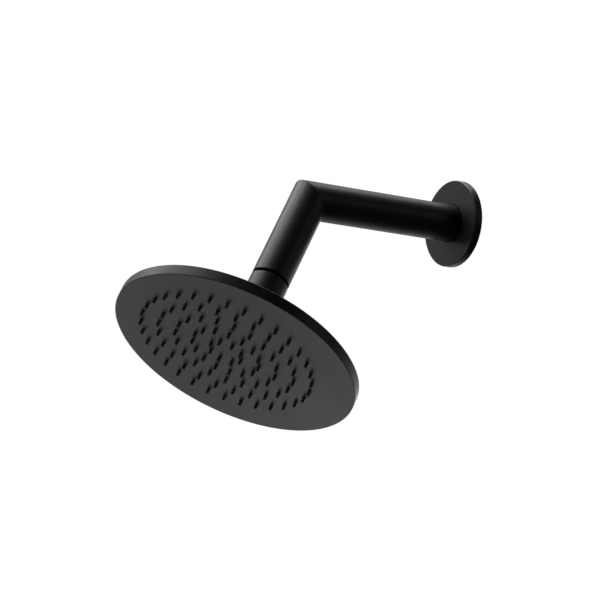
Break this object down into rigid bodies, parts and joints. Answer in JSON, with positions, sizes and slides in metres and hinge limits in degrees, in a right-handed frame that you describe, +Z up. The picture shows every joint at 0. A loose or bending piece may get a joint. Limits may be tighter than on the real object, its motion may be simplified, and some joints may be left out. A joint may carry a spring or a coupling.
{
  "type": "wall-mounted rain shower head with arm",
  "caption": "Flat round overhead shower head with rubber nozzles on a mitred round arm, with a small ball swivel, a round wall flange and a threaded pipe inlet.",
  "frame": {"origin": "centre of the inlet thread in the plane of the finished wall, which is the back of the flange", "axes": "+Y into the wall along the inlet thread, +Z up, +X to the right for a person facing the wall; the arm leaves the wall along -Y"},
  "size_m": [0.18, 0.2932, 0.198],
  "materials": {
    "black_paint": "matt black paint",
    "head_plastic": "matt black",
    "silicone": "matt",
    "black_rubber": "matt",
    "foam_rubber": "matt foam",
    "fibre": "pressed fibre",
    "brass": "machined",
    "plated_brass": "polished",
    "steel_mesh": "woven",
    "white_liner": "smooth",
    "red_plastic": "moulded",
    "grey_plastic": "moulded",
    "black_screw": "black oxide"
  },
  "bodies": {
    "wall_arm": {"arm_wall_tube": "black_paint", "arm_drop_tube": "black_paint", "inlet_nipple": "brass", "inlet_washer": "fibre", "outlet_bush": "brass", "filter_screen": "steel_mesh", "ball_stud": "plated_brass", "stud_o_ring": "black_rubber"},
    "flange": {"wall_flange": "black_paint", "wall_gasket": "foam_rubber", "flange_o_ring": "black_rubber"},
    "upper_liner": {"upper_ball_liner": "white_liner"},
    "lower_liner": {"lower_ball_liner": "white_liner"},
    "spray_head": {"swivel_collar": "black_paint", "ball_retainer": "brass", "ball_seal": "black_rubber", "spigot_o_ring": "black_rubber", "flow_restrictor": "red_plastic", "head_back_plate": "head_plastic", "back_plate_screws": "black_screw", "perimeter_seal": "black_rubber", "inlet_diffuser": "grey_plastic", "mat_clamp_plate": "grey_plastic", "nozzle_mat": "silicone", "face_pan": "head_plastic"}
  },
  "joints": [
    {"name": "flange_slide", "type": "slide", "parent": "wall_arm", "child": "flange", "axis": [0, -1, 0], "range_m": [0, 0.1]},
    {"name": "head_tilt_fore_aft", "type": "hinge", "parent": "wall_arm", "child": "upper_liner", "pos_m": [0, -0.17306, -0.07408], "axis": [1, 0, 0], "range_deg": [-6, 6]},
    {"name": "head_tilt_sideways", "type": "hinge", "parent": "upper_liner", "child": "lower_liner", "pos_m": [0, -0.17306, -0.07408], "axis": [0, 0.8746, -0.4848], "range_deg": [-6, 6]},
    {"name": "head_spin", "type": "hinge", "parent": "lower_liner", "child": "spray_head", "pos_m": [0, -0.17306, -0.07408], "axis": [0, 0.4848, 0.8746], "continuous": true}
  ]
}
